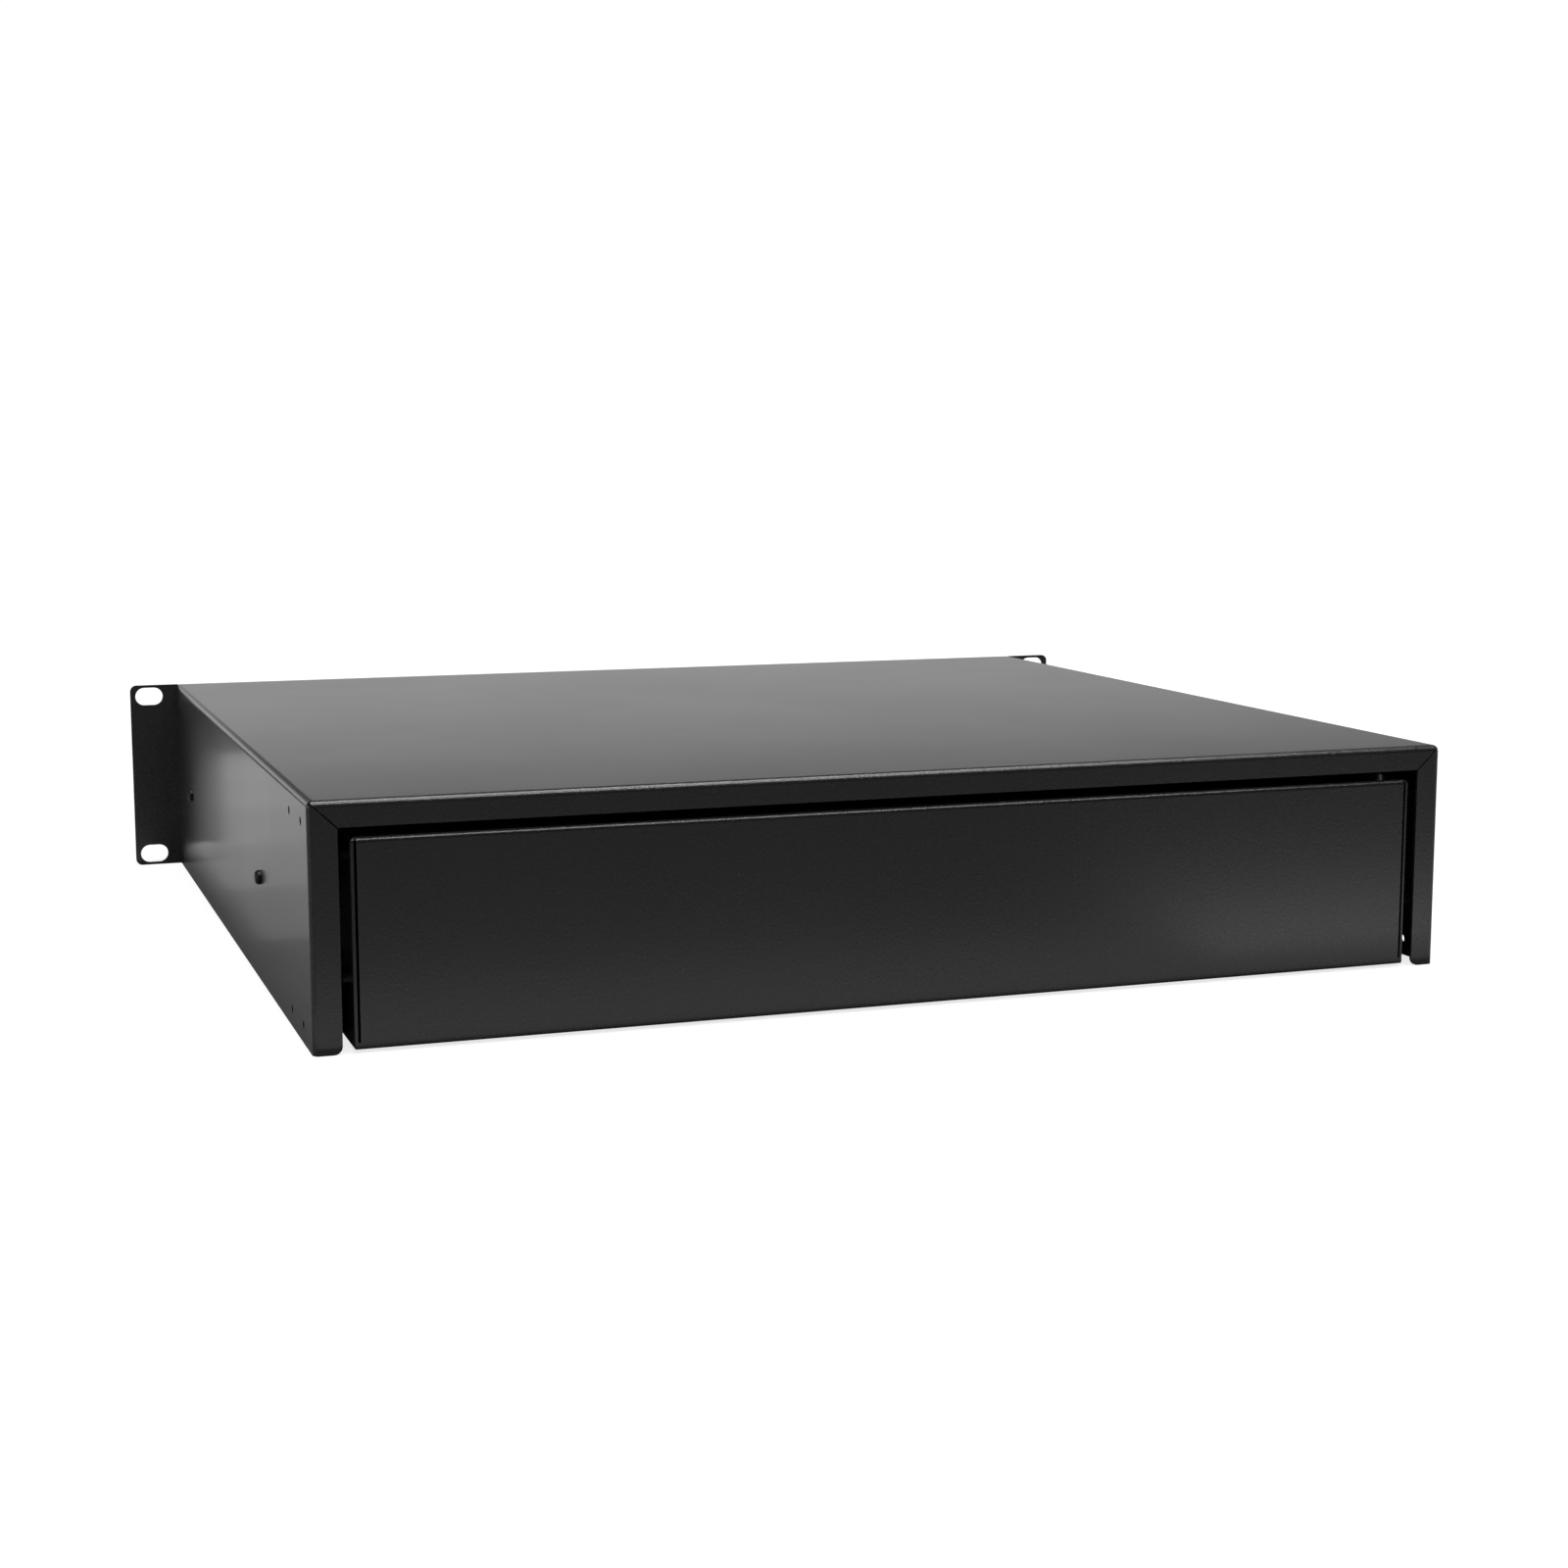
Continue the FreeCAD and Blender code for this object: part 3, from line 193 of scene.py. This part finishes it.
def powder_coat(name, colour, roughness, grain_depth):
    """Fine-textured powder coat: sand-like grain under a thin glossy skin, rubbed at the edges."""
    material, tree = new_material(name)
    point = place(tree)
    grain = noise(tree, point, GRAIN, 3.0, 0.62)
    dimple = noise(tree, point, DIMPLE, 1.0)
    cloud = noise(tree, point, CLOUD, 4.0)
    wear = worn_edges(tree, point, COAT_WEAR)
    relief = relief_seen(tree)
    tint = mix_colour(tree, span(tree, cloud, 0.3, 0.7), shade(colour, 0.9), colour)
    tint = mix_colour(tree, span(tree, grain, 0.62, 0.78), tint, grey(0.05))
    tint = mix_colour(tree, maths(tree, "MULTIPLY", wear, 0.5), tint, grey(0.09))
    haze = span(tree, cloud, 0.3, 0.7, roughness - 0.01, roughness + 0.01)
    gloss = maths(tree, "MULTIPLY_ADD", span(tree, grain, 0.35, 0.7, 0.04, -0.05), relief, haze)
    gloss = maths(tree, "MULTIPLY_ADD", wear, -0.08, gloss)
    soft = bump(tree, dimple, DIMPLE_DEPTH, relief)
    fine = bump(tree, grain, grain_depth, relief, soft)
    sparkle = bump(tree, grain, SKIN_RELIEF * grain_depth, relief, soft)
    surface(tree, Base_Color=tint, Roughness=gloss, Normal=fine, IOR=1.5,
            Coat_Weight=SKIN, Coat_Roughness=SKIN_ROUGHNESS, Coat_Normal=sparkle)
    return material


def plated_steel(name, colour, roughness, streak=(40.0, 2.0, 40.0)):
    """Zinc-plated or rolled steel: faint streaks along the rolling direction and a soft cloudy tone."""
    material, tree = new_material(name)
    point = place(tree)
    lines = noise(tree, place(tree, streak), ROLLED_LINES, 3.0, 0.6)
    cloud = noise(tree, point, STEEL_CLOUD, 3.0)
    speck = noise(tree, point, STEEL_SPECK, 2.0)
    wear = worn_edges(tree, point, STEEL_WEAR)
    darker = shade(colour, 0.86)
    tint = mix_colour(tree, span(tree, cloud, 0.3, 0.75), darker, colour)
    tint = mix_colour(tree, span(tree, speck, 0.66, 0.8), tint, darker)
    tint = mix_colour(tree, wear, tint, shade(colour, 1.2))
    gloss = maths(tree, "ADD", span(tree, lines, 0.3, 0.7, roughness - 0.03, roughness + 0.04),
                  span(tree, cloud, 0.3, 0.7, -0.03, 0.03))
    gloss = maths(tree, "MULTIPLY_ADD", wear, -0.08, gloss)
    ridges = bump(tree, lines, LINE_DEPTH, 1.0, bump(tree, speck, SPECK_DEPTH))
    surface(tree, Base_Color=tint, Metallic=1.0, Roughness=gloss, Normal=ridges)
    return material


def bright_metal(name, colour, roughness):
    """Polished plate with hairline scratches, a thin uneven haze and rubbed edges."""
    material, tree = new_material(name)
    point = place(tree)
    scratch = noise(tree, place(tree, (8.0, 1.0, 60.0)), SCRATCH, 2.0)
    haze = noise(tree, point, POLISH_HAZE, 3.0)
    wear = worn_edges(tree, point, POLISH_WEAR)
    tint = mix_colour(tree, span(tree, haze, 0.35, 0.75), colour, shade(colour, 0.86))
    tint = mix_colour(tree, wear, tint, grey(0.82))
    gloss = maths(tree, "ADD", span(tree, haze, 0.3, 0.7, roughness, roughness + 0.08),
                  span(tree, scratch, 0.6, 0.75, 0.0, 0.08))
    surface(tree, Base_Color=tint, Metallic=1.0, Roughness=gloss,
            Normal=bump(tree, scratch, SCRATCH_DEPTH))
    return material


def moulded_plastic(name, colour, roughness):
    """Moulded plastic with a fine spark-eroded grain, paler where its edges rub."""
    material, tree = new_material(name)
    point = place(tree)
    grain = noise(tree, point, SPARK_GRAIN, 2.0)
    cloud = noise(tree, point, PLASTIC_CLOUD, 3.0)
    tint = mix_colour(tree, span(tree, cloud, 0.35, 0.7), colour, shade(colour, 1.35))
    tint = mix_colour(tree, worn_edges(tree, point, PLASTIC_WEAR), tint, shade(colour, 2.4))
    surface(tree, Base_Color=tint, Roughness=span(tree, grain, 0.3, 0.7, roughness - 0.06, roughness + 0.08),
            Normal=bump(tree, grain, SPARK_DEPTH))
    return material


def make_materials():
    return {
        "powder_coat": powder_coat("powder_coat_black", (0.0135, 0.0140, 0.0148, 1.0), 0.31, 0.00003),
        "handle_coat": powder_coat("handle_coat_black", (0.012, 0.012, 0.013, 1.0), 0.27, 0.00002),
        "black_screw": plated_steel("black_oxide", (0.045, 0.045, 0.05, 1.0), 0.42, (1.0, 1.0, 1.0)),
        "zinc_screw": plated_steel("bright_zinc", (0.66, 0.67, 0.68, 1.0), 0.27, (1.0, 1.0, 1.0)),
        "slide_zinc": plated_steel("rolled_zinc", (0.60, 0.61, 0.63, 1.0), 0.30),
        "cage_steel": plated_steel("cage_strip", (0.48, 0.48, 0.49, 1.0), 0.36),
        "ball_steel": bright_metal("ball_polish", (0.78, 0.78, 0.79, 1.0), 0.06),
        "buffer_plastic": moulded_plastic("buffer_grey", (0.035, 0.035, 0.038, 1.0), 0.5),
        "lever_plastic": moulded_plastic("lever_black", (0.018, 0.018, 0.018, 1.0), 0.42),
        "lock_chrome": bright_metal("lock_plate", (0.74, 0.74, 0.75, 1.0), 0.12),
        "lock_brass": bright_metal("lock_core", (0.72, 0.66, 0.50, 1.0), 0.22),
        "key_nickel": bright_metal("key_plate", (0.70, 0.68, 0.64, 1.0), 0.2),
    }


def dress(node, material):
    """Give one CAD piece its material."""
    node.data.materials.clear()
    node.data.materials.append(material)


# ---------------------------------------------------------------- studio

FLOOR_HALF = 14.0
FLOOR_SEEN = 0.34
FLOOR_REFLECTED = 0.20
FLOOR_GLOW = 0.78
FAR_GLOW = 1.05
GLOW_NEAR = 0.5
GLOW_FAR = 1.6
BACKDROP = 1.02


def camera_ray_switch(tree, seen, unseen):
    """One shader for the camera's own rays and another for light and reflections."""
    path = tree.nodes.new("ShaderNodeLightPath")
    mix = tree.nodes.new("ShaderNodeMixShader")
    tree.links.new(path.outputs["Is Camera Ray"], mix.inputs[0])
    tree.links.new(unseen, mix.inputs[1])
    tree.links.new(seen, mix.inputs[2])
    return mix.outputs[0]


def make_floor():
    """A plain pale floor under the drawer; it glows, more so with distance, to fade into the backdrop."""
    corners = [(-1, -1), (1, -1), (1, 1), (-1, 1)]
    points = [(MIDDLE.x + x * FLOOR_HALF, MIDDLE.y + y * FLOOR_HALF, LOW.z) for x, y in corners]
    mesh = bpy.data.meshes.new("floor")
    mesh.from_pydata(points, [], [(0, 1, 2, 3)])
    floor = bpy.data.objects.new("floor", mesh)
    bpy.context.scene.collection.objects.link(floor)
    material, tree = new_material("pale_floor")
    away = add(tree, "ShaderNodeVectorMath", Vector=place(tree))
    away.operation = "LENGTH"
    brighter = span(tree, away.outputs["Value"], GLOW_NEAR, GLOW_FAR, FLOOR_GLOW, FAR_GLOW)
    glow = add(tree, "ShaderNodeEmission", Color=grey(1.0), Strength=brighter)
    matt = add(tree, "ShaderNodeBsdfDiffuse", Color=grey(FLOOR_SEEN))
    seen = tree.nodes.new("ShaderNodeAddShader")
    tree.links.new(glow.outputs[0], seen.inputs[0])
    tree.links.new(matt.outputs[0], seen.inputs[1])
    unseen = add(tree, "ShaderNodeBsdfDiffuse", Color=grey(FLOOR_REFLECTED))
    output = tree.nodes.new("ShaderNodeOutputMaterial")
    shader = camera_ray_switch(tree, seen.outputs[0], unseen.outputs[0])
    tree.links.new(shader, output.inputs["Surface"])
    mesh.materials.append(material)


def make_world():
    """White where the camera looks, black for light and reflections, which come from the softboxes."""
    world = bpy.data.worlds.new("studio")
    bpy.context.scene.world = world
    world.use_nodes = True
    tree = world.node_tree
    tree.nodes.clear()
    white = add(tree, "ShaderNodeBackground", Color=grey(1.0), Strength=BACKDROP)
    black = add(tree, "ShaderNodeBackground", Color=grey(0.0), Strength=0.0)
    output = tree.nodes.new("ShaderNodeOutputWorld")
    shader = camera_ray_switch(tree, white.outputs[0], black.outputs[0])
    tree.links.new(shader, output.inputs["Surface"])


def make_softbox(name, spot, target, width, height, watts):
    """A rectangular lamp at a spot, facing a target, that the camera doesn't see."""
    light = bpy.data.lights.new(name, "AREA")
    light.shape = "RECTANGLE"
    light.size = width
    light.size_y = height
    light.energy = watts
    box = bpy.data.objects.new(name, light)
    bpy.context.scene.collection.objects.link(box)
    box.visible_camera = False
    box.location = spot
    box.rotation_mode = "QUATERNION"
    box.rotation_quaternion = (target - spot).to_track_quat("-Z", "Y")


def make_hanging_lamp(name, elevation, distance, width, height, watts):
    """A softbox in the plane of symmetry: elevation 0 is straight in front, 90 is overhead."""
    angle = math.radians(elevation)
    spot = MIDDLE + distance * Vector((0.0, -math.cos(angle), math.sin(angle)))
    make_softbox(name, spot, MIDDLE, width, height, watts)


def make_floor_lamp(name, x, y, width, length, watts, lift=0.002):
    """A faint lamp lying just above the floor, facing up, for the low faces to mirror."""
    spot = Vector((x, y, LOW.z + lift))
    make_softbox(name, spot, spot + Vector((0.0, 0.0, 1.0)), width, length, watts)


# Each side mirrors a row of floor lamps beside it, brighter towards the front.
ROW_LAMPS = 5
ROW_GAP = 0.06
ROW_START = 0.15
ROW_WIDTH = 0.14
ROW_PITCH = 0.12
ROW_FIRST_POWER = 0.008
ROW_POWER_STEP = 0.0075


def make_side_lamps(name, side):
    """One side's lamps; side is -1 on the left and 1 on the right."""
    fill = MIDDLE + Vector((side * 2.2, 0.0, 0.30))
    make_softbox(f"{name}_fill", fill, MIDDLE, width=1.8, height=0.6, watts=5.0)
    for step in range(ROW_LAMPS):
        x = side * (HIGH.x + ROW_GAP)
        y = ROW_START - ROW_PITCH * step
        power = ROW_FIRST_POWER + ROW_POWER_STEP * step
        make_floor_lamp(f"{name}_strip_{step + 1}", x, y, ROW_WIDTH, ROW_PITCH, power)


def make_lights():
    """Lamps set so that brightness matches the photo; how it was really lit isn't known."""
    make_hanging_lamp("overhead", 92, distance=2.0, width=2.4, height=0.35, watts=38.0)
    make_hanging_lamp("behind_top", 120, distance=2.0, width=2.4, height=0.12, watts=26.0)
    make_hanging_lamp("front_low", 5, distance=3.0, width=8.0, height=0.5, watts=11.5)
    make_hanging_lamp("front_high", 30, distance=3.0, width=8.0, height=0.3, watts=4.1)
    make_side_lamps("left", -1)
    make_side_lamps("right", 1)
    make_floor_lamp("floor_strip", 0.0, HIGH.y + 0.047, width=0.52, length=0.09, watts=0.05)
    make_floor_lamp("floor_patch", -0.25, HIGH.y + 0.09, width=0.22, length=0.12, watts=0.05, lift=0.003)


CAMERA_PLACE = Vector((0.346, 1.227, 0.168))
CAMERA_HEADING = math.radians(-19.58)
CAMERA_TILT = math.radians(-8.21)
CAMERA_LENS = 57.5


def make_camera():
    """Behind the drawer, to its right-hand side, looking slightly down."""
    data = bpy.data.cameras.new("camera")
    data.lens = CAMERA_LENS
    camera = bpy.data.objects.new("camera", data)
    bpy.context.scene.collection.objects.link(camera)
    level = math.cos(CAMERA_TILT)
    across = math.sin(CAMERA_HEADING) * level
    along = -math.cos(CAMERA_HEADING) * level
    forward = Vector((across, along, math.sin(CAMERA_TILT)))
    camera.location = CAMERA_PLACE
    camera.rotation_mode = "QUATERNION"
    camera.rotation_quaternion = forward.to_track_quat("-Z", "Y")
    bpy.context.scene.camera = camera


# ---------------------------------------------------------------- build

materials = make_materials()
for name, node in frame["nodes"].items():
    dress(node, materials[SLOT_OF_NODE[name]])
make_floor()
make_world()
make_lights()
make_camera()
bpy.context.scene.view_settings.view_transform = "Standard"
